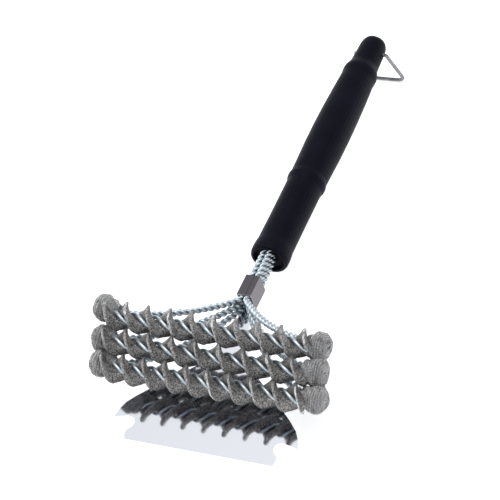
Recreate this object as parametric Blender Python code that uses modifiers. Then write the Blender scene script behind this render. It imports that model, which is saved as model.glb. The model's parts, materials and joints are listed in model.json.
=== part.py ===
"""Grill cleaning brush: three mesh-and-wire coil rows, a sheet-steel scraper, a moulded handle and a
swinging hanging loop. Lengths are in metres, +Z is up, and the brush rests on its scraper edge and its
hanging loop. In the brush's own frame the handle axis is the +Y axis through the origin, and X is the
direction of the coil rows."""

import math

import bmesh
import bpy
from mathutils import Matrix, Vector

MM = 0.001

# Overall layout, in the brush's own frame (mm, degrees)
CLEARANCE = 0.3             # between pieces that don't touch
REST_TILT = 2.37            # handle's rear end is raised by the hanging loop
REST_PLACE = (-1.6, -168.7, 34.3)    # centres the brush, with its scraper edge and loop on z = 0

# Handle
MOUTH_Y = 119.5
HANDLE_LENGTH = 260.3
HANDLE_SEGMENTS = 30
SOCKET_BORE = 11.9
SOCKET_BORE_DEPTH = 66.0
HOLLOW = (9.6, 8.6, 222.0)  # radii and depth of the moulded hollow behind the socket
MOUTH_RECESS = 3.0
LOOP_HOLE_STATION = 245.5
LOOP_HOLE_RADIUS = 2.05

# Rod bundle: six twisted rods, two across and three deep
ROD_PITCH = 5.0
BUNDLE_Z = 2.0
BUNDLE_END_Y = MOUTH_Y + 58.0
ARM_KNOTS = 18
ARM_CORNER = 34.0           # an arm runs straight at a point this far inside its row's end
ARM_DROP = 5.0              # it leaves the clamp a little along the bundle
ARM_PULLS = (0.8, 0.45)     # and turns there: its curve's handles, as shares of the way to that point
WIRE_RADIUS = 1.0
PAIR_RADIUS = 1.33          # from a rod's centre to either of its two wires

# Coil rows: row 1 is nearest the handle
ROW_TILT = 33.0             # rows' plane against the handle axis
ROW_PITCH = 19.4
ROW_2_PLACE = (0.0, 22.5)   # y, z of the middle row's axis
ROW_SHIFTS = (-0.8, 0.8, 4.0)    # of each row's middle, along the row
HALF_TWISTS = (19.0, 20.25, 18.4)
TWIST_STARTS = (-75.0, -71.6, -69.6)
TWIST_PHASE = 6.2           # blade angle from the rows' plane at a twist start
COIL_RADIUS = 13.0
COIL_SQUASH = 9.0           # rows press flat against each other at this distance
COIL_TUCK = 1.8             # a blade is this much shorter where it points back, at the arms
ROW_WIRE_RADIUS = 3.4       # from a row's axis to either of its two wires
ROW_END = 84.0
COIL_END = 80.0
RIBBON_CORE = 4.0           # beyond this height over the row's axis a blade slants along the row,
RIBBON_SLANT = 0.2          # by this slope
TURN_RADIUS = 7.6
TURN_LEAN = (0.3, -0.954)   # along and out of the rows' plane
BULB = (12.0, 9.2, 12.8)
BULB_X = 88.5
TUNNEL_REACH = 70.0         # an arm may touch the ribbon out to here

# Scraper: one sheet, folded round the rods at its top
SHEET = 1.0
CLAMP_Y = (72.5, 93.5)
BLADE_SLOPE = 11.6          # the sheet falls away from the handle axis by this angle
TAB_LAP = 1.2               # the left tab's edge passes the middle by this much

# Hanging loop
LOOP_WIRE = 1.65
LOOP_LENGTH = 52.5
LOOP_HALF_TOP = 14.8
LOOP_HALF_END = 16.5
LOOP_ANGLE = -67.8          # from +Y, about +X


def clear_scene():
    for obj in list(bpy.data.objects):
        bpy.data.objects.remove(obj, do_unlink=True)


def collection(name):
    made = bpy.data.collections.new(name)
    bpy.context.scene.collection.children.link(made)
    return made


def material(name, colour, roughness, metallic):
    made = bpy.data.materials.new(name)
    made.use_nodes = True
    shader = made.node_tree.nodes["Principled BSDF"]
    shader.inputs["Base Color"].default_value = (*colour, 1.0)
    shader.inputs["Roughness"].default_value = roughness
    shader.inputs["Metallic"].default_value = metallic
    return made


def add_object(name, data, home, finish=None):
    made = bpy.data.objects.new(name, data)
    home.objects.link(made)
    if finish:
        data.materials.append(finish)
    return made


def rehome(obj, name, home):
    for old in list(obj.users_collection):
        old.objects.unlink(obj)
    home.objects.link(obj)
    obj.name = name
    return obj


def meshed(source, name, home, finish):
    """A curve object's evaluated mesh as a new object, with its caps welded."""
    bpy.context.view_layer.update()
    evaluated = source.evaluated_get(bpy.context.evaluated_depsgraph_get())
    data = bpy.data.meshes.new_from_object(evaluated)
    shape = bmesh.new()
    shape.from_mesh(data)
    bmesh.ops.remove_doubles(shape, verts=shape.verts, dist=1e-6)
    bmesh.ops.recalc_face_normals(shape, faces=shape.faces)
    shape.to_mesh(data)
    shape.free()
    data.materials.clear()
    made = add_object(name, data, home, finish)
    made.matrix_world = source.matrix_world.copy()
    bpy.data.objects.remove(source, do_unlink=True)
    return made


def cut(target, cutter, operation="DIFFERENCE"):
    step = target.modifiers.new(f"{operation.lower()} {cutter.name}", "BOOLEAN")
    step.operation = operation
    step.object = cutter
    step.solver = "EXACT"


def hide_cutter(obj):
    obj.hide_render = True
    obj.display_type = "WIRE"
    return obj


def wire_curve(name, points, radius, home, finish=None, resolution=1):
    """A round wire through the points, which are in mm."""
    data = bpy.data.curves.new(name, "CURVE")
    data.dimensions = "3D"
    data.bevel_depth = radius * MM
    data.bevel_resolution = resolution
    data.use_fill_caps = True
    line = data.splines.new("POLY")
    line.points.add(len(points) - 1)
    for knot, place in zip(line.points, points):
        knot.co = (*(Vector(place) * MM), 1.0)
    return add_object(name, data, home, finish)


def flat_outline(name, outline, thickness, home):
    """A sheet of the given outline (mm), centred on its own XY plane."""
    data = bpy.data.curves.new(name, "CURVE")
    data.dimensions = "2D"
    data.fill_mode = "BOTH"
    data.extrude = thickness * MM / 2
    line = data.splines.new("POLY")
    line.points.add(len(outline) - 1)
    for knot, (x, y) in zip(line.points, outline):
        knot.co = (x * MM, y * MM, 0.0, 1.0)
    line.use_cyclic_u = True
    return add_object(name, data, home)


def turned(name, profile, segments, home, finish):
    """A solid turned about the handle axis: profile is (radius, y) from the front to the rear, mm."""
    data = bpy.data.meshes.new(name)
    shape = bmesh.new()
    knots = [shape.verts.new((radius * MM, 0.0, -y * MM)) for radius, y in profile]
    for first, second in zip(knots, knots[1:]):
        shape.edges.new((first, second))
    shape.to_mesh(data)
    shape.free()
    made = add_object(name, data, home, finish)
    made.rotation_euler = (math.radians(90), 0, 0)
    screw = made.modifiers.new("turn", "SCREW")
    screw.axis = "Z"
    screw.steps = screw.render_steps = segments
    screw.use_merge_vertices = True
    screw.merge_threshold = 1e-5
    return made


def row_frame(row):
    """The row's axis point, the direction in the rows' plane towards the handle, and the rows' normal."""
    tilt = math.radians(ROW_TILT)
    along = Vector((0, math.cos(tilt), math.sin(tilt)))
    normal = Vector((0, -math.sin(tilt), math.cos(tilt)))
    centre = Vector((ROW_SHIFTS[row], *ROW_2_PLACE)) + along * ROW_PITCH * (1 - row)
    return centre, along, normal


def turn_lean(row):
    """The direction in which a rod turns back at the end of its row."""
    _, along, normal = row_frame(row)
    return along * TURN_LEAN[0] + normal * TURN_LEAN[1]


def blade_angle(row, x):
    return math.radians(TWIST_PHASE) + math.pi * (x - TWIST_STARTS[row]) / HALF_TWISTS[row]


def bezier(knots, count):
    """Points on a cubic curve, without its first one."""
    a, b, c, d = knots
    points = []
    for i in range(1, count + 1):
        t = i / count
        u = 1 - t
        points.append(a * u ** 3 + b * 3 * u * u * t + c * 3 * u * t * t + d * t ** 3)
    return points


def half_route(row, side):
    """A rod's centre line from the middle of the row to the handle, with its wires' distance from it."""
    centre, along, normal = row_frame(row)
    across = Vector((side, 0, 0))
    lean = turn_lean(row)
    step = HALF_TWISTS[row] / 5
    route = []
    x = 0.0
    while x < ROW_END - step / 2:
        route.append((centre + across * x, ROW_WIRE_RADIUS))
        x += step
    turn_steps = 5
    for i in range(turn_steps + 1):
        angle = math.pi * i / turn_steps
        place = centre + across * (ROW_END + TURN_RADIUS * math.sin(angle))
        place += lean * TURN_RADIUS * (1 - math.cos(angle))
        blend = i / turn_steps
        route.append((place, ROW_WIRE_RADIUS + (PAIR_RADIUS - ROW_WIRE_RADIUS) * blend))
    leave = route[-1][0]
    rod_z = BUNDLE_Z + ROD_PITCH * (1 - row)
    enter = Vector((side * ROD_PITCH / 2, CLAMP_Y[0] - 2.0, rod_z))
    corner = leave - across * ARM_CORNER
    arm = bezier((leave, leave.lerp(corner, ARM_PULLS[0]),
                  enter.lerp(corner, ARM_PULLS[1]) - Vector((0, ARM_DROP, 0)), enter),
                 ARM_KNOTS)
    route += [(place, PAIR_RADIUS) for place in arm]
    route.append((Vector((side * ROD_PITCH / 2, BUNDLE_END_Y, rod_z)), PAIR_RADIUS))
    return route


def wire_route(row, which):
    """One of the row's two wires, from end to end: both ends are in the handle."""
    _, along, normal = row_frame(row)
    halves = []
    for side in (-1, 1):
        route = half_route(row, side)
        first, second = along.copy(), normal.copy()
        heading = Vector((side, 0, 0))
        travelled = 0.0
        points = []
        for i, (place, reach) in enumerate(route):
            after = route[min(i + 1, len(route) - 1)][0]
            before = route[max(i - 1, 0)][0]
            new_heading = (after - before).normalized()
            if i == 0:
                new_heading = heading
            swing = heading.rotation_difference(new_heading)
            first.rotate(swing)
            second.rotate(swing)
            heading = new_heading
            last = i == len(route) - 1
            if i and not last:
                travelled += (place - route[i - 1][0]).length
            angle = blade_angle(row, ROW_SHIFTS[row] + side * travelled) + math.pi / 2 + math.pi * which
            points.append(place + (first * math.cos(angle) + second * math.sin(angle)) * reach)
        halves.append(points)
    left, right = halves
    return left[:0:-1] + right


def coil_reach(row, angle):
    """How far the mesh blade stands out from the row's axis in this direction."""
    rise = math.cos(angle)
    reach = COIL_RADIUS - COIL_TUCK * math.sqrt(max(-math.sin(angle), 0.0))
    squashed = (rise > 0 and row > 0) or (rise < 0 and row < 2)
    return min(reach, COIL_SQUASH / max(abs(rise), 1e-6)) if squashed else reach


def blade_slant(height):
    """How far a blade has moved along its row at this height over the row's axis."""
    return math.copysign(max(abs(height) - RIBBON_CORE, 0.0) * RIBBON_SLANT, height)


def coil_mesh(row, home, finish):
    """The knitted ribbon of a row: a flat strip with thick edges, twisted about the row's axis."""
    centre, along, normal = row_frame(row)
    half_middle, half_fold, half_edge, edge_depth = 1.6, 2.3, 1.1, 1.8
    step = HALF_TWISTS[row] / 6
    count = round(2 * COIL_END / step)
    shape = bmesh.new()
    rings = []
    for i in range(count + 1):
        x = -COIL_END + 2 * COIL_END * i / count
        angle = blade_angle(row, ROW_SHIFTS[row] + x)
        blade = along * math.cos(angle) + normal * math.sin(angle)
        face = normal * math.cos(angle) - along * math.sin(angle)
        far, near = coil_reach(row, angle), coil_reach(row, angle + math.pi)
        outline = [(far, half_edge), (far - edge_depth, half_fold), (0.0, half_middle),
                   (edge_depth - near, half_fold), (-near, half_edge)]
        outline += [(reach, -half) for reach, half in reversed(outline)]
        at = centre + Vector((x, 0, 0))
        ring = [blade * b + face * f for b, f in outline]
        slants = [Vector((blade_slant(point.dot(along)), 0, 0)) for point in ring]
        rings.append([shape.verts.new((at + point + slant) * MM) for point, slant in zip(ring, slants)])
    for one, two in zip(rings, rings[1:]):
        for i in range(len(one)):
            j = (i + 1) % len(one)
            shape.faces.new((one[i], one[j], two[j], two[i]))
    shape.faces.new(rings[0][::-1])
    shape.faces.new(rings[-1])
    bmesh.ops.recalc_face_normals(shape, faces=shape.faces)
    name = f"row_{row + 1}_mesh"
    data = bpy.data.meshes.new(name)
    shape.to_mesh(data)
    shape.free()
    data.shade_smooth()
    data.set_sharp_from_angle(angle=math.radians(50))
    return add_object(name, data, home, finish)


def bulb(row, side, home):
    """Where the ribbon bunches up round the wires' turn at the end of a row."""
    centre, along, normal = row_frame(row)
    lean = turn_lean(row)
    place = centre + Vector((side * BULB_X, 0, 0)) + lean * TURN_RADIUS * 0.5
    data = bpy.data.meshes.new("bulb")
    shape = bmesh.new()
    bmesh.ops.create_uvsphere(shape, u_segments=16, v_segments=10, radius=MM)
    stretch = Matrix.Diagonal((*BULB, 1))
    axes = Matrix((Vector((1, 0, 0)), along, normal)).transposed().to_4x4()
    shape.transform(Matrix.Translation(place * MM) @ axes @ stretch)
    shape.to_mesh(data)
    shape.free()
    data.shade_smooth()
    return hide_cutter(add_object(f"bulb {row + 1} {'left' if side < 0 else 'right'}", data, home))


def tunnel(row, side, home):
    """The room that the two wires take through the bunched end of the ribbon."""
    route = half_route(row, side)
    reach = ROW_WIRE_RADIUS + WIRE_RADIUS + 2 * CLEARANCE
    middle = ROW_SHIFTS[row]
    turn = [place for place, _ in route if abs(place.x - middle) > ROW_END - 0.5]
    start = Vector((middle + side * (BULB_X - BULB[0] - 1), *turn[0].yz))
    arm = route[-ARM_KNOTS - 1:]
    leave = [place for place, _ in arm if TUNNEL_REACH < abs(place.x - middle) <= ROW_END - 0.5]
    line = [start] + turn + leave
    wide = wire_curve("tunnel", line, reach, home, resolution=2)
    return hide_cutter(meshed(wide, f"tunnel {row + 1} {side}", home, None))


def handle_profile():
    outer = [(14.3, 0.0), (15.6, 1.0), (16.2, 3.0), (16.3, 6.0), (16.1, 10.0), (15.5, 15.0), (15.35, 40.0),
             (15.45, 81.0), (16.2, 83.5), (16.8, 86.5), (16.4, 89.5), (15.9, 92.0), (16.2, 104.0),
             (16.8, 125.0), (16.95, 146.0), (16.6, 168.0), (15.9, 190.0), (14.95, 212.0), (15.3, 215.5),
             (15.45, 218.0), (15.2, 220.5), (14.0, 224.0), (12.9, 227.5), (12.6, 230.0), (12.2, 240.0),
             (11.9, 250.0), (11.3, 255.0), (9.9, 258.4), (7.0, 260.0)]
    front, rear, depth = HOLLOW
    inner = [(0.0, depth), (rear, depth), (front, SOCKET_BORE_DEPTH + 2), (SOCKET_BORE, SOCKET_BORE_DEPTH),
             (SOCKET_BORE, MOUTH_RECESS), (12.8, MOUTH_RECESS), (12.8, 0.6), (13.4, 0.0)]
    whole = inner + outer + [(0.0, HANDLE_LENGTH)]
    return [(radius, MOUTH_Y + y) for radius, y in whole]


def build_handle(home, cutters, finish):
    handle = turned("handle_grip", handle_profile(), HANDLE_SEGMENTS, home, finish)
    bpy.ops.mesh.primitive_cylinder_add(vertices=12, radius=LOOP_HOLE_RADIUS * MM, depth=40 * MM)
    hole = rehome(bpy.context.object, "loop hole", cutters)
    hole.rotation_euler = (0, math.radians(90), 0)
    hole.location = (0, (MOUTH_Y + LOOP_HOLE_STATION) * MM, 0)
    cut(handle, hide_cutter(hole))
    return handle, hole


def build_socket(home, cutters, finish):
    """The plug in the handle's mouth that grips the six rods."""
    radius = SOCKET_BORE - CLEARANCE
    front, rear = MOUTH_Y + MOUTH_RECESS + CLEARANCE, BUNDLE_END_Y + 6
    profile = [(0.0, front), (radius, front), (radius, rear), (0.0, rear)]
    socket = turned("rod_socket", profile, 24, home, finish)
    reach_x = ROD_PITCH / 2 + PAIR_RADIUS + WIRE_RADIUS + CLEARANCE
    reach_z = reach_x + ROD_PITCH / 2
    bpy.ops.mesh.primitive_cube_add(size=1)
    slot = rehome(bpy.context.object, "rod slot", cutters)
    depth = BUNDLE_END_Y + CLEARANCE - MOUTH_Y
    slot.scale = (2 * reach_x * MM, depth * MM, 2 * reach_z * MM)
    slot.location = (0, (MOUTH_Y + depth / 2) * MM, BUNDLE_Z * MM)
    cut(socket, hide_cutter(slot))
    return socket, slot


def scraper_outline():
    """Half of the sheet, x against the distance from the clamp, from its top to its front edge."""
    return [(6.1, -1.0), (6.1, 14.0), (8.5, 26.0), (14.0, 40.0), (25.0, 55.0), (42.0, 69.0), (56.0, 80.0),
            (66.0, 88.5), (73.5, 96.0), (77.5, 103.0), (79.5, 110.0), (67.0, 107.2), (62.0, 108.6),
            (60.2, 112.0), (61.2, 115.6), (64.6, 118.6), (65.6, 122.0), (64.0, 127.0)]


def build_scraper(home, cutters, finish):
    half = scraper_outline()
    outline = [(x, -reach) for x, reach in half] + [(-x, -reach) for x, reach in reversed(half)]
    sheet = meshed(flat_outline("sheet", outline, SHEET, cutters), "scraper", home, finish)
    inside = ROD_PITCH / 2 + PAIR_RADIUS + WIRE_RADIUS + CLEARANCE
    low, high = BUNDLE_Z - inside - ROD_PITCH / 2, BUNDLE_Z + inside + ROD_PITCH / 2
    outside = inside + SHEET
    sheet.location = (0, CLAMP_Y[0] * MM, (low - SHEET / 2) * MM)
    sheet.rotation_euler = (math.radians(BLADE_SLOPE), 0, 0)
    lap = TAB_LAP
    fold = [(lap, high), (lap, high + SHEET), (-outside, high + SHEET), (-outside, low - SHEET),
            (outside, low - SHEET), (outside, high + SHEET), (lap + CLEARANCE, high + SHEET),
            (lap + CLEARANCE, high), (inside, high), (inside, low), (-inside, low), (-inside, high)]
    length = CLAMP_Y[1] - CLAMP_Y[0]
    clamp = meshed(flat_outline("fold", fold, length, cutters), "clamp fold", cutters, None)
    clamp.rotation_euler = (math.radians(90), 0, 0)
    clamp.location = (0, (CLAMP_Y[0] + length / 2) * MM, 0)
    cut(sheet, hide_cutter(clamp), "UNION")
    return sheet, clamp


def loop_route():
    """The wire of the hanging loop in its own plane: x across, y out from the hole."""
    corner_top, corner_end = 3.5, 9.0
    points = []
    legs = [(LOOP_HALF_TOP, 0.0), (LOOP_HALF_END, LOOP_LENGTH)]
    corners = [(legs[0], corner_top), (legs[1], corner_end),
               ((-legs[1][0], legs[1][1]), corner_end), ((-legs[0][0], 0.0), corner_top)]
    for i, (corner, radius) in enumerate(corners):
        here = Vector((*corner, 0))
        before = (Vector((*corners[i - 1][0], 0)) - here).normalized()
        after = (Vector((*corners[(i + 1) % 4][0], 0)) - here).normalized()
        reach = radius / math.tan(before.angle(after) / 2)
        start, end = here + before * reach, here + after * reach
        for k in range(5):
            t = k / 4
            points.append(start * (1 - t) ** 2 + here * 2 * t * (1 - t) + end * t * t)
    return points


def build_loop(home, finish):
    data = bpy.data.curves.new("hanging_loop", "CURVE")
    data.dimensions = "3D"
    data.bevel_depth = LOOP_WIRE * MM
    data.bevel_resolution = 2
    line = data.splines.new("POLY")
    points = loop_route()
    line.points.add(len(points) - 1)
    for knot, place in zip(line.points, points):
        knot.co = (*(place * MM), 1.0)
    line.use_cyclic_u = True
    loop = add_object("hanging_loop", data, home, finish)
    loop.location = (0, (MOUTH_Y + LOOP_HOLE_STATION) * MM, 0)
    loop.rotation_euler = (math.radians(LOOP_ANGLE), 0, 0)
    return loop


def main():
    clear_scene()
    parts = collection("grill_cleaning_brush")
    cutters = collection("cutters")
    plastic = material("black_plastic", (0.012, 0.012, 0.014), 0.42, 0.0)
    dark_plastic = material("socket_plastic", (0.008, 0.008, 0.009), 0.6, 0.0)
    wire_steel = material("galvanised_wire", (0.62, 0.66, 0.69), 0.3, 1.0)
    mesh_steel = material("knitted_steel", (0.33, 0.31, 0.29), 0.42, 1.0)
    sheet_steel = material("polished_sheet", (0.8, 0.81, 0.83), 0.08, 1.0)
    loop_steel = material("loop_chrome", (0.72, 0.72, 0.74), 0.12, 1.0)

    made = [*build_handle(parts, cutters, plastic), *build_socket(parts, cutters, dark_plastic),
            *build_scraper(parts, cutters, sheet_steel), build_loop(parts, loop_steel)]
    for row in range(3):
        coil = coil_mesh(row, parts, mesh_steel)
        made.append(coil)
        for side in (-1, 1):
            end = bulb(row, side, cutters)
            room = tunnel(row, side, cutters)
            cut(coil, end, "UNION")
            cut(coil, room)
            made += [end, room]
        for which, letter in enumerate("ab"):
            name = f"row_{row + 1}_wire_{letter}"
            made.append(wire_curve(name, wire_route(row, which), WIRE_RADIUS, parts, wire_steel))

    brush = bpy.data.objects.new("brush_frame", None)
    parts.objects.link(brush)
    for obj in made:
        obj.parent = brush
    brush.rotation_euler = (math.radians(REST_TILT), 0, 0)
    brush.location = Vector(REST_PLACE) * MM


main()
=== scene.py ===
"""The looks of the grill cleaning brush: knitted steel ribbons twisted into coil rows, twisted wire rods,
a polished scraper, a satin black handle and a bright hanging loop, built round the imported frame."""

import json
import math

import bpy
import numpy as np
from mathutils import Matrix, Vector


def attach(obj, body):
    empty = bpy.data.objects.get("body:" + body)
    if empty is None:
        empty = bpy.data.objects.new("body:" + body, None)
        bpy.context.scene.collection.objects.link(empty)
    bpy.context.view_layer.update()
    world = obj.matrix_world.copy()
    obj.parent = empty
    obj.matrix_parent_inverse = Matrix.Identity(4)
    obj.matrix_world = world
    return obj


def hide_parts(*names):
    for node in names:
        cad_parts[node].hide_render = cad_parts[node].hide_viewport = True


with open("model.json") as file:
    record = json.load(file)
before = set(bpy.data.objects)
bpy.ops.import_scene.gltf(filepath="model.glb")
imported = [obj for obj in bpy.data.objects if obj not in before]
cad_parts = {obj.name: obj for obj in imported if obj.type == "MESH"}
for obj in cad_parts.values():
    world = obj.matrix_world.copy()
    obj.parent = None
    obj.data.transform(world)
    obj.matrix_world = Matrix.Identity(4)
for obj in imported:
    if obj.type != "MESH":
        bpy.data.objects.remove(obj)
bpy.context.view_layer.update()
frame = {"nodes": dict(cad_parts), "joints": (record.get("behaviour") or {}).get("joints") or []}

MM = 0.001

# The brush's own frame: its handle axis is +Y through the origin, and X runs along the rows (mm, degrees)
REST_TILT = 2.37
HINGE_Y = 365.0             # the hanging loop's hole, along the handle axis

# Coil rows: row 0 is nearest the handle
ROW_TILT = 33.0
ROW_PITCH = 19.4
ROW_SHIFTS = (-0.8, 0.8, 4.0)    # of each row's middle, along the row
ROW_1_PLACE = (0.0, 22.5)   # y, z of the middle row's axis
HALF_TWISTS = (19.0, 20.25, 18.4)
TWIST_STARTS = (-75.0, -71.6, -69.6)
TWIST_PHASE = 6.2           # blade angle from the rows' plane at a twist start
COIL_END = 88.0
RIBBON_CORE = 4.0           # beyond this height over the row's axis a blade slants along the row,
RIBBON_SLANTS = (0.2, 0.32)    # by these slopes above and below the axis

# Ribbon
RIBBON_RADIUS = 13.0
RIBBON_SQUASH = 11.2        # a blade that meets the next row bends back to about this height
RIBBON_TUCK = 2.8           # a blade is this much shorter where it points back, at the arms
RIBBON_MIDDLE = 2.1         # half thickness where the wires pinch it
RIBBON_SWELL = 0.8          # extra half thickness of its two padded halves
PAD_PLACE = 0.45            # where a half is thickest, from the middle (0) to the rim (1)
PAD_WIDTH = 0.3
BLUNTNESS = (0.85, 0.6)     # how square the section is, along the blade and across it: 1 is an ellipse
RUMPLE = 0.33               # uneven width
RUMPLE_THICK = 0.16         # uneven thickness, as a share

# Knitting: courses of stitches round the ribbon
KNIT_WIRE = 0.21            # radius
STITCHES = 30               # round the ribbon
STITCH_KNOTS = 6            # points along a stitch
COURSE = 1.3                # from one course to the next
KNIT_DRIFT = 0.9            # how far stitches stray along the row
KNIT_SWAY = 0.13            # and round the ribbon, in radians
END_WIRE = 0.22
END_STITCHES = 32
END_COURSES = 28
END_SPAN = (0.12, 2.75)     # from the first course to the last, as angles from the outer pole
END_HEIGHT = 0.6            # a stitch's height here, as a share of its height on the ribbon

# Rods: each is two wires
WIRE_RADIUS = 1.5
PAIR_RADIUS = 1.4
ROW_WIRE_RADIUS = 4.1
ARM_TWIST = 10.0            # length of one full turn of an arm's two wires
ROW_END = 84.0
TURN_RADIUS = 7.6
TURN_LEAN = (0.3, -0.954)   # along and out of the rows' plane
ROD_PITCH = 5.0
BUNDLE_Z = 2.0
BUNDLE_END_Y = 177.5
CLAMP_Y = 72.5
ARM_CORNER = 34.0           # an arm runs straight at a point this far inside its row's end
ARM_DROP = 5.0              # it leaves the clamp a little along the bundle
ARM_PULLS = (0.8, 0.45)     # its curve's handles, as shares of the way to that point

# Ends of the rows, where the ribbon bunches round the rods' turn
BULB = (10.6, 12.2, 12.8)   # radii along the row, in the rows' plane and across it
BULB_X = 89.0
BULB_TAPER = 0.32           # it narrows by this share towards the row
BULB_MIDDLE = 1.5           # the angle from the outer pole where its inner half starts
BULB_DENT = (1.2, 0.35)     # depth and angular width of the hollow at the outer pole
PLEATS = 6
PLEAT_DEPTHS = (0.3, 1.2)   # at the outer pole and on the inner half
PLEAT_SWIRL = 1.3
LUMPS = 0.7
COURSE_RIDGE = 0.5          # height of every other course
COURSE_WANDER = 4.5
FIRST_BULB_SHIFT = (2.0, 4.5)    # the first row's left end bunches further out and towards the handle

# Studio: the sky's colours by height, and each lamp's place (m), size (m) and power (W)
SKY = [(0.0, (0.85, 0.86, 0.88)), (0.7, (0.62, 0.64, 0.67)), (0.9, (0.92, 0.94, 0.97))]
LAMPS = (("top", (0.0, 0.1, 1.5), 0.8, 5.0), ("left", (-1.4, -0.3, 0.7), 1.0, 7.0))

hinge = Vector(frame["joints"][0]["pos_m"])
tilt = Matrix.Rotation(math.radians(REST_TILT), 4, "X")
BRUSH = Matrix.Translation(hinge - tilt @ Vector((0, HINGE_Y * MM, 0))) @ tilt
fold_start = BRUSH @ Vector((0, CLAMP_Y * MM, 0))


# ---------------------------------------------------------------- meshes

def to_world(points):
    """Points in the brush's own frame (mm) as points in the row frame (m)."""
    turn = np.array(BRUSH.to_3x3())
    return np.asarray(points) * MM @ turn.T + np.array(BRUSH.translation)


def unit(vectors):
    return vectors / np.maximum(np.linalg.norm(vectors, axis=-1, keepdims=True), 1e-12)


def mesh_piece(name, points, faces, finish, uvs=None):
    """A smooth mesh piece from points in mm and faces of one size; uvs are one pair for each point."""
    points = to_world(points.reshape(-1, 3)).astype(np.float32)
    faces = np.asarray(faces, np.int32)
    data = bpy.data.meshes.new(name)
    data.vertices.add(len(points))
    data.vertices.foreach_set("co", points.ravel())
    data.loops.add(faces.size)
    data.loops.foreach_set("vertex_index", faces.ravel())
    data.polygons.add(len(faces))
    data.polygons.foreach_set("loop_start", np.arange(0, faces.size, faces.shape[1], dtype=np.int32))
    if uvs is not None:
        layer = data.uv_layers.new(name="UVMap")
        layer.data.foreach_set("uv", uvs.reshape(-1, 2)[faces.ravel()].astype(np.float32).ravel())
    data.update()
    data.shade_smooth()
    data.materials.append(finish)
    made = bpy.data.objects.new(name, data)
    bpy.context.scene.collection.objects.link(made)
    return made


def grid_faces(rows, columns, wrap=True):
    """Quads of a grid of points whose columns wrap round."""
    i = np.arange(rows - 1)[:, None]
    j = np.arange(columns if wrap else columns - 1)[None, :]
    k = (j + 1) % columns
    quads = np.stack([i * columns + j, i * columns + k, (i + 1) * columns + k, (i + 1) * columns + j], -1)
    return quads.reshape(-1, 4)


def tubes(paths, ups, radius, sides):
    """Round tubes along paths (count, knots, 3): points (count, knots, sides, 3) and their quads."""
    along = unit(np.gradient(paths, axis=1))
    first = unit(ups - along * (ups * along).sum(-1, keepdims=True))
    second = np.cross(along, first)
    turn = np.arange(sides) * 2 * np.pi / sides
    ring = first[:, :, None] * np.cos(turn)[:, None] + second[:, :, None] * np.sin(turn)[:, None]
    points = paths[:, :, None] + ring * radius
    count, knots = paths.shape[:2]
    quads = grid_faces(knots, sides)
    faces = (quads[None] + (np.arange(count) * knots * sides)[:, None, None]).reshape(-1, 4)
    return points, faces


# ---------------------------------------------------------------- rows

def row_frame(row):
    """The row's axis point, the direction in the rows' plane towards the handle, and the rows' normal."""
    tilt = math.radians(ROW_TILT)
    along = np.array((0, math.cos(tilt), math.sin(tilt)))
    normal = np.array((0, -math.sin(tilt), math.cos(tilt)))
    centre = np.array((ROW_SHIFTS[row], *ROW_1_PLACE)) + along * ROW_PITCH * (1 - row)
    return centre, along, normal


def blade_angle(row, x):
    """The ribbon's turn about its row's axis, from the rows' plane."""
    return math.radians(TWIST_PHASE) + np.pi * (x - TWIST_STARTS[row]) / HALF_TWISTS[row]


def smooth_noise(u, v, seed, waves=7):
    """A smooth random field over two coordinates, between about -1 and 1."""
    draw = np.random.default_rng(seed)
    total = 0.0
    for _ in range(waves):
        a, b, c = draw.normal(size=3)
        total = total + np.sin(a * u + b * v + c * 9)
    return total / math.sqrt(waves)


def ribbon_point(row, x, turn):
    """The knitted ribbon's surface, at x along the row and turn (radians) round its flat section."""
    centre, along, normal = row_frame(row)
    angle = blade_angle(row, ROW_SHIFTS[row] + x)
    reach = np.sign(np.cos(turn)) * np.abs(np.cos(turn)) ** BLUNTNESS[0]
    rim = np.abs(reach)
    pad = RIBBON_MIDDLE + RIBBON_SWELL * np.exp(-((rim - PAD_PLACE) / PAD_WIDTH) ** 2)
    thick = pad * np.sign(np.sin(turn)) * np.abs(np.sin(turn)) ** BLUNTNESS[1]
    rise = np.cos(angle) * np.sign(reach)
    meets = ((rise > 0) & (row > 0)) | ((rise < 0) & (row < 2))
    limit = RIBBON_RADIUS - (RIBBON_RADIUS - RIBBON_SQUASH) * np.where(meets, np.abs(rise) ** 3, 0)
    limit = limit - RIBBON_TUCK * np.sqrt(np.maximum(-np.sin(angle) * np.sign(reach), 0))
    side = np.where(reach > 0, 1.0, 2.0)
    width = (limit + RUMPLE * smooth_noise(x * 0.22, side * 5 + turn, 11 + row)) * reach
    thick = thick * (1 + RUMPLE_THICK * smooth_noise(x * 0.35, side * 4 + turn * 1.5, 21 + row) * rim)
    blade = along * np.cos(angle)[..., None] + normal * np.sin(angle)[..., None]
    face = normal * np.cos(angle)[..., None] - along * np.sin(angle)[..., None]
    lead = width * math.pi / HALF_TWISTS[row]
    slant = 1 / np.sqrt(1 + lead ** 2)
    place = centre + blade * width[..., None] + face * (thick * slant)[..., None]
    height = width * np.cos(angle)
    slopes = np.where(height > 0, *RIBBON_SLANTS)
    lean = np.sign(height) * np.maximum(np.abs(height) - RIBBON_CORE, 0) * slopes
    place[..., 0] += x + lean - thick * slant * lead
    return place


def ribbon(row, finish):
    """The inner layers of a row's ribbon."""
    steps, around = 420, 44
    x = np.linspace(-COIL_END, COIL_END, steps)[:, None] + np.zeros((1, around))
    turn = np.zeros((steps, 1)) + np.arange(around)[None] * 2 * np.pi / around
    points = ribbon_point(row, x, turn)
    uvs = np.stack([x / 10, turn / (2 * np.pi) * 6], -1)
    return mesh_piece(f"row_{row + 1}_ribbon", points, grid_faces(steps, around), finish, uvs)


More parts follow.
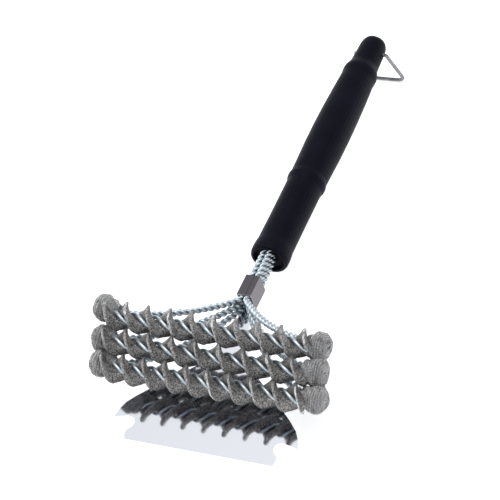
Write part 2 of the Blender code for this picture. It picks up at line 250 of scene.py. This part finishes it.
def stitch_path(stitches, knots_each):
    """One course of knitting over a unit of width: how far round (stitches) and how far up (courses)."""
    t = np.arange(stitches * knots_each + 1) / knots_each
    across = t + 0.2 * np.sin(4 * np.pi * t)
    up = -0.78 * np.cos(2 * np.pi * t)
    lift = 0.5 + 0.5 * np.cos(4 * np.pi * t)
    return across, up, lift


def surface_normals(surface, u, v, step_u, step_v):
    du = surface(u + step_u, v) - surface(u - step_u, v)
    dv = surface(u, v + step_v) - surface(u, v - step_v)
    return unit(np.cross(du, dv))


def knitting(name, surface, u, v, lift, flip, wire, finish):
    """Wires of knitting that lie on a surface along the paths u, v."""
    normals = surface_normals(surface, u, v, 0.02, 0.002) * flip
    paths = surface(u, v) + normals * (wire * (0.4 + 1.3 * lift))[..., None]
    points, faces = tubes(paths, normals, wire, 3)
    count, knots = paths.shape[:2]
    uvs = np.zeros(points.shape[:3] + (2,))
    uvs[..., 0] = np.arange(knots)[None, :, None] / 10
    uvs[..., 1] = np.arange(count)[:, None, None]
    return mesh_piece(name, points, faces, finish, uvs)


def ribbon_knitting(row, finish):
    """The outer layer of a ribbon's knitting, one course after another along the row."""
    across, up, lift = stitch_path(STITCHES, STITCH_KNOTS)
    courses = np.arange(-COIL_END, COIL_END, COURSE)[:, None]
    x = courses + up * COURSE + KNIT_DRIFT * smooth_noise(courses * 2.1, across * 0.9, 61 + row)
    sway = KNIT_SWAY * smooth_noise(courses * 1.7, across * 1.1, 71 + row)
    turn = across / STITCHES * 2 * np.pi + np.pi / 2 + sway

    def surface(x, turn):
        return ribbon_point(row, x, turn)

    lift = lift + np.zeros_like(x)
    return knitting(f"row_{row + 1}_knitting", surface, x, turn, lift, 1, KNIT_WIRE, finish)


# ---------------------------------------------------------------- rods

def bezier(knots, count):
    """Points on a cubic curve, without its first one."""
    a, b, c, d = knots
    t = (np.arange(1, count + 1) / count)[:, None]
    u = 1 - t
    return a * u ** 3 + b * 3 * u * u * t + c * 3 * u * t * t + d * t ** 3


def half_route(row, side):
    """A rod's centre line from the middle of the row to the handle, and its wires' distance from it."""
    centre, along, normal = row_frame(row)
    across = np.array((side, 0.0, 0.0))
    lean = along * TURN_LEAN[0] + normal * TURN_LEAN[1]
    straight = centre + across * np.arange(0, ROW_END, 0.8)[:, None]
    angle = np.linspace(0, np.pi, 24)[:, None]
    turn = centre + across * (ROW_END + TURN_RADIUS * np.sin(angle))
    turn = turn + lean * TURN_RADIUS * (1 - np.cos(angle))
    rod_z = BUNDLE_Z + ROD_PITCH * (1 - row)
    enter = np.array((side * ROD_PITCH / 2, CLAMP_Y - 2.0, rod_z))
    leave = turn[-1]
    corner = leave - across * ARM_CORNER
    drop = np.array((0, -ARM_DROP, 0))
    knots = (leave, leave + (corner - leave) * ARM_PULLS[0], enter + (corner - enter) * ARM_PULLS[1] + drop,
             enter)
    arm = bezier(knots, 150)
    bundle = enter + np.array((0, 1.0, 0)) * np.arange(0.7, BUNDLE_END_Y - CLAMP_Y, 0.7)[:, None]
    places = np.concatenate([straight, turn, arm, bundle])
    blend = np.concatenate([np.zeros(len(straight)), np.linspace(0, 1, len(turn)),
                            np.ones(len(arm) + len(bundle))])
    return places, blend


def carried(headings, start):
    """A direction carried along a path without twisting, for each of its headings."""
    axes = [np.array(start, float)]
    for before, after in zip(headings, headings[1:]):
        swing = Vector(before).rotation_difference(Vector(after))
        axes.append(np.array(swing @ Vector(axes[-1])))
    return np.array(axes)


def wire_half(row, side, which):
    """One of a rod's two wires from the middle of the row to the handle, and the way out from the rod."""
    _, along, _ = row_frame(row)
    places, blend = half_route(row, side)
    headings = unit(np.gradient(places, axis=0))
    headings[0] = (side, 0, 0)
    first = carried(headings, along)
    second = np.cross(headings, first) * side
    step = np.linalg.norm(np.diff(places, axis=0), axis=1)
    in_row = np.pi / HALF_TWISTS[row]
    in_arm = 2 * np.pi / ARM_TWIST
    rate = in_row + (in_arm - in_row) * blend[1:] ** 2
    turned = np.concatenate([[0], np.cumsum(step * rate)])
    angle = blade_angle(row, ROW_SHIFTS[row]) + side * turned + np.pi / 2 + np.pi * which
    out = first * np.cos(angle)[:, None] + second * np.sin(angle)[:, None]
    reach = ROW_WIRE_RADIUS + (PAIR_RADIUS - ROW_WIRE_RADIUS) * blend
    return places + out * reach[:, None], out


def rod_wire(row, which, finish):
    left, left_out = wire_half(row, -1, which)
    right, right_out = wire_half(row, 1, which)
    path = np.concatenate([left[:0:-1], right])
    ups = np.concatenate([left_out[:0:-1], right_out])
    sides = 12
    points, faces = tubes(path[None], ups[None], WIRE_RADIUS, sides)
    length = np.concatenate([[0], np.cumsum(np.linalg.norm(np.diff(path, axis=0), axis=1))])
    uvs = np.stack([np.repeat(length / 10, sides), np.tile(np.arange(sides) / sides, len(path))], -1)
    return mesh_piece(f"row_{row + 1}_wire_{'ab'[which]}_twisted", points, faces, finish, uvs)


# ---------------------------------------------------------------- row ends

def bulb_point(row, side, lat, lon):
    """The bunched end of a ribbon: lat runs from its outer pole, lon round the row's axis."""
    centre, along, normal = row_frame(row)
    lean = along * TURN_LEAN[0] + normal * TURN_LEAN[1]
    place = centre + lean * TURN_RADIUS * 0.5
    shift_out, shift_up = FIRST_BULB_SHIFT if (row, side) == (0, -1) else (0, 0)
    place = place + along * shift_up + np.array((side * shift_out, 0, 0))
    end = 2 * row + (side > 0)
    inner = 1 / (1 + np.exp(-(lat - BULB_MIDDLE) * 5))
    shallow, deep = PLEAT_DEPTHS
    swirl = lon * side + lat * PLEAT_SWIRL
    fold = (shallow + (deep - shallow) * inner) * np.cos(PLEATS * swirl) * np.sin(lat) ** 2
    fold = fold + LUMPS * smooth_noise(lat * 2.4, np.cos(lon) * 2.4, 31 + end)
    period = 2 * (END_SPAN[1] - END_SPAN[0]) / (END_COURSES - 1)
    wander = COURSE_WANDER * smooth_noise(lat * 1.2, np.sin(lon) * 2, 41 + end)
    fold = fold + COURSE_RIDGE * np.cos(2 * np.pi * lat / period + wander)
    dent = BULB_DENT[0] * np.exp(-(lat / BULB_DENT[1]) ** 2)
    size = [radius + fold - dent for radius in BULB]
    out = np.sin(lat) ** 0.8 * (1 - BULB_TAPER * inner)
    x = np.cos(lat) * size[0] * side
    y = out * np.cos(lon) * size[1]
    z = out * np.sin(lon) * size[2]
    points = place + along * y[..., None] + normal * z[..., None]
    points[..., 0] += side * BULB_X + x
    return points


def bulb(row, side, finish):
    rings, around = 160, 64
    lat = np.linspace(0.02, np.pi - 0.02, rings)[:, None] + np.zeros((1, around))
    lon = np.zeros((rings, 1)) + np.arange(around)[None] * 2 * np.pi / around
    points = bulb_point(row, side, lat, lon)
    uvs = np.stack([lat * 1.3, lon / (2 * np.pi) * 8], -1)
    name = f"row_{row + 1}_end_{'left' if side < 0 else 'right'}"
    return mesh_piece(name, points, grid_faces(rings, around)[:, ::side], finish, uvs)


def end_knitting(row, side, finish):
    """The outer layer of knitting over a bunched end, in courses round its outer pole."""
    across, up, lift = stitch_path(END_STITCHES, STITCH_KNOTS)
    courses = np.linspace(*END_SPAN, END_COURSES)[:, None]
    lat = courses + up * END_HEIGHT * (courses[1] - courses[0])
    lon = across / END_STITCHES * 2 * np.pi + np.zeros_like(lat)

    def surface(lat, lon):
        return bulb_point(row, side, np.clip(lat, 0.01, 3.1), lon)

    name = f"row_{row + 1}_end_{'left' if side < 0 else 'right'}_knitting"
    lift = lift + np.zeros_like(lat)
    return knitting(name, surface, lat, lon, lift, side, END_WIRE, finish)


# ---------------------------------------------------------------- materials

def new_material(name, colour, roughness, metallic):
    made = bpy.data.materials.new(name)
    made.use_nodes = True
    shader = made.node_tree.nodes["Principled BSDF"]
    shader.inputs["Base Color"].default_value = (*colour, 1)
    shader.inputs["Roughness"].default_value = roughness
    shader.inputs["Metallic"].default_value = metallic
    return made, made.node_tree, shader


def link(tree, source, target):
    tree.links.new(source, target)


def noise(tree, scale, detail=3.0):
    node = tree.nodes.new("ShaderNodeTexNoise")
    node.inputs["Scale"].default_value = scale
    node.inputs["Detail"].default_value = detail
    link(tree, tree.nodes.new("ShaderNodeTexCoord").outputs["Object"], node.inputs["Vector"])
    return node.outputs["Fac"]


def ramp(tree, value, stops):
    """A colour ramp of (place, colour) stops."""
    node = tree.nodes.new("ShaderNodeValToRGB")
    elements = node.color_ramp.elements
    while len(elements) < len(stops):
        elements.new(0.5)
    for element, (place, colour) in zip(elements, stops):
        element.position = place
        element.color = (*colour, 1)
    link(tree, value, node.inputs["Fac"])
    return node.outputs["Color"]


def spread(tree, value, low, high):
    """A value from 0 to 1 as one from low to high."""
    node = tree.nodes.new("ShaderNodeMapRange")
    node.inputs["To Min"].default_value = low
    node.inputs["To Max"].default_value = high
    link(tree, value, node.inputs["Value"])
    return node.outputs["Result"]


def bump(tree, shader, height, strength, distance):
    node = tree.nodes.new("ShaderNodeBump")
    node.inputs["Strength"].default_value = strength
    node.inputs["Distance"].default_value = distance
    link(tree, height, node.inputs["Height"])
    link(tree, node.outputs["Normal"], shader.inputs["Normal"])


def shaded(tree, colour, dark):
    """Painted shade: a colour as it is where a surface faces up, and multiplied by dark where it faces
    down.
    """
    normal = tree.nodes.new("ShaderNodeSeparateXYZ")
    link(tree, tree.nodes.new("ShaderNodeNewGeometry").outputs["Normal"], normal.inputs["Vector"])
    height = tree.nodes.new("ShaderNodeMapRange")
    height.inputs["From Min"].default_value = -1.0
    link(tree, normal.outputs["Z"], height.inputs["Value"])
    # painted shade: darkens the colour on faces that point down, standing in for the shade under them
    painted_shade = ramp(tree, height.outputs["Result"], [(0.3, (dark, dark, dark * 1.08)), (0.8, (1, 1, 1))])
    mix = tree.nodes.new("ShaderNodeMix")
    mix.data_type = "RGBA"
    mix.blend_type = "MULTIPLY"
    mix.inputs["Factor"].default_value = 1.0
    link(tree, colour, mix.inputs["A"])
    link(tree, painted_shade, mix.inputs["B"])
    return mix.outputs["Result"]


def knit_material():
    """Fine steel knitting wire, with dull and bright stretches, and painted shade where it faces down."""
    made, tree, shader = new_material("knitting_wire_look", (0.55, 0.52, 0.48), 0.35, 1.0)
    patches = noise(tree, 260, 4)
    stops = [(0.36, (0.50, 0.49, 0.48)), (0.48, (0.92, 0.91, 0.90)), (0.6, (1.0, 1.0, 1.0))]
    # painted shade: the wire's colour is darkened where it faces down; the stretches themselves are random
    # tone
    link(tree, shaded(tree, ramp(tree, patches, stops), 0.3), shader.inputs["Base Color"])
    link(tree, spread(tree, noise(tree, 600), 0.22, 0.5), shader.inputs["Roughness"])
    return made


def under_material():
    """The ribbon's inner layers, seen between the stitches of its outer one: the same steel painted much
    darker, as painted shade in the gaps between stitches, with random mottling, and with painted shade
    where they face down.
    """
    made, tree, shader = new_material("inner_layers_look", (0.2, 0.19, 0.175), 0.55, 1.0)
    layers = noise(tree, 900, 5)
    # painted shade: these stops keep the inner layers far darker than the outer knitting, for the shade
    # between stitches; the mottling is random tone
    stops = [(0.35, (0.08, 0.077, 0.075)), (0.65, (0.56, 0.54, 0.52))]
    link(tree, shaded(tree, ramp(tree, layers, stops), 0.3), shader.inputs["Base Color"])
    bump(tree, shader, layers, 0.9, 0.0008)
    return made


def rod_material():
    """Bright galvanised wire, a little blue, with faint drawing marks, and painted shade where it faces
    down.
    """
    made, tree, shader = new_material("rod_steel_look", (0.66, 0.71, 0.74), 0.25, 1.0)
    marks = noise(tree, 400, 4)
    stops = [(0.3, (0.46, 0.53, 0.57)), (0.7, (0.78, 0.86, 0.90))]
    # painted shade: the rods' colour is darkened where they face down
    link(tree, shaded(tree, ramp(tree, marks, stops), 0.3), shader.inputs["Base Color"])
    link(tree, spread(tree, marks, 0.24, 0.42), shader.inputs["Roughness"])
    bump(tree, shader, noise(tree, 1500, 2), 0.15, 0.0002)
    return made


def scraper_material():
    """Polished sheet, with fine grain and faint smears; its folded clamp is darker and duller."""
    made, tree, shader = new_material("scraper_look", (0.88, 0.89, 0.92), 0.05, 1.0)
    place = tree.nodes.new("ShaderNodeSeparateXYZ")
    link(tree, tree.nodes.new("ShaderNodeTexCoord").outputs["Object"], place.inputs["Vector"])
    fold = tree.nodes.new("ShaderNodeMapRange")
    fold.inputs["From Min"].default_value = fold_start.y - 0.006
    fold.inputs["From Max"].default_value = fold_start.y + 0.001
    link(tree, place.outputs["Y"], fold.inputs["Value"])
    tone = ramp(tree, fold.outputs["Result"], [(0.0, (0.86, 0.87, 0.90)), (1.0, (0.16, 0.15, 0.16))])
    link(tree, tone, shader.inputs["Base Color"])
    link(tree, spread(tree, noise(tree, 60, 5), 0.03, 0.12), shader.inputs["Roughness"])
    bump(tree, shader, noise(tree, 14, 1), 0.05, 0.001)
    return made


def handle_material():
    """Black satin moulding with a fine spark-eroded grain."""
    made, tree, shader = new_material("handle_look", (0.003, 0.003, 0.008), 0.5, 0.0)
    shader.inputs["Specular IOR Level"].default_value = 0.07
    grain = noise(tree, 1600, 2)
    tone = ramp(tree, noise(tree, 35, 3), [(0.3, (0.002, 0.002, 0.006)), (0.7, (0.004, 0.004, 0.011))])
    link(tree, tone, shader.inputs["Base Color"])
    link(tree, spread(tree, noise(tree, 90, 4), 0.42, 0.56), shader.inputs["Roughness"])
    bump(tree, shader, grain, 0.12, 0.0002)
    return made


def socket_material():
    """Dull black plug, coarser than the moulding round it."""
    made, tree, shader = new_material("socket_look", (0.003, 0.003, 0.006), 0.65, 0.0)
    shader.inputs["Specular IOR Level"].default_value = 0.07
    link(tree, spread(tree, noise(tree, 300, 3), 0.55, 0.75), shader.inputs["Roughness"])
    bump(tree, shader, noise(tree, 900, 3), 0.3, 0.0003)
    return made


def loop_material():
    """Bright plated wire with faint pits."""
    made, tree, shader = new_material("loop_look", (0.3, 0.3, 0.31), 0.2, 1.0)
    marks = noise(tree, 250, 4)
    link(tree, ramp(tree, marks, [(0.3, (0.15, 0.15, 0.155)), (0.7, (0.27, 0.27, 0.28))]),
         shader.inputs["Base Color"])
    link(tree, spread(tree, marks, 0.08, 0.2), shader.inputs["Roughness"])
    return made


def dress(node, finish):
    """Gives a CAD node that stays in view its material."""
    obj = frame["nodes"][node]
    obj.data.materials.clear()
    obj.data.materials.append(finish)


# ---------------------------------------------------------------- studio

def build_studio():
    bpy.ops.mesh.primitive_plane_add(size=12, location=(0, 0, 0))
    floor = bpy.context.object
    floor.name = "floor"
    finish, tree, shader = new_material("floor_white", (0.93, 0.93, 0.93), 0.9, 0.0)
    shader.inputs["Emission Color"].default_value = (1, 1, 1, 1)
    shader.inputs["Emission Strength"].default_value = 0.5
    floor.data.materials.append(finish)

    world = bpy.data.worlds.new("studio")
    bpy.context.scene.world = world
    world.use_nodes = True
    tree = world.node_tree
    background = tree.nodes["Background"]
    background.inputs["Strength"].default_value = 1.0
    direction = tree.nodes.new("ShaderNodeTexCoord").outputs["Generated"]
    height = tree.nodes.new("ShaderNodeSeparateXYZ")
    link(tree, direction, height.inputs["Vector"])
    link(tree, ramp(tree, height.outputs["Z"], SKY), background.inputs["Color"])

    for name, place, size, power in LAMPS:
        data = bpy.data.lights.new(name, "AREA")
        data.size = size
        data.energy = power
        lamp = bpy.data.objects.new(name, data)
        lamp.location = place
        lamp.rotation_euler = (-Vector(place)).to_track_quat("-Z", "Y").to_euler()
        bpy.context.scene.collection.objects.link(lamp)


def build_camera():
    """The photograph's view: it looks down on the brush from its front right, with the camera rolled."""
    azimuth, elevation, roll = math.radians(36.7), math.radians(44.6), math.radians(-20.0)
    distance, aim = 1575.0, Vector((-19.7, 127.3, 0))
    back = Vector((math.sin(azimuth) * math.cos(elevation), -math.cos(azimuth) * math.cos(elevation),
                   math.sin(elevation)))
    right = Vector((math.cos(azimuth), math.sin(azimuth), 0))
    up = back.cross(right)
    rolled_right = right * math.cos(roll) + up * math.sin(roll)
    rolled_up = up * math.cos(roll) - right * math.sin(roll)
    turn = Matrix((rolled_right, rolled_up, back)).transposed().to_4x4()
    data = bpy.data.cameras.new("camera")
    data.sensor_width = 36.0
    data.lens = 139.8
    data.clip_end = 50
    camera = bpy.data.objects.new("camera", data)
    bpy.context.scene.collection.objects.link(camera)
    camera.matrix_world = BRUSH @ Matrix.Translation((aim + back * distance) * MM) @ turn
    bpy.context.scene.camera = camera
    bpy.context.scene.view_settings.view_transform = "Standard"


# ---------------------------------------------------------------- the brush

def main():
    knit = knit_material()
    under = under_material()
    rods = rod_material()
    for row in range(3):
        pieces = [ribbon(row, under), ribbon_knitting(row, knit)]
        for side in (-1, 1):
            pieces += [bulb(row, side, under), end_knitting(row, side, knit)]
        for piece in pieces:
            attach(piece, "brush")
        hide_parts(f"row_{row + 1}_mesh")
        for which, letter in enumerate("ab"):
            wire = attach(rod_wire(row, which, rods), "brush")
            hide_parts(f"row_{row + 1}_wire_{letter}")
    dress("scraper", scraper_material())
    dress("handle_grip", handle_material())
    dress("rod_socket", socket_material())
    dress("hanging_loop", loop_material())
    build_studio()
    build_camera()


main()
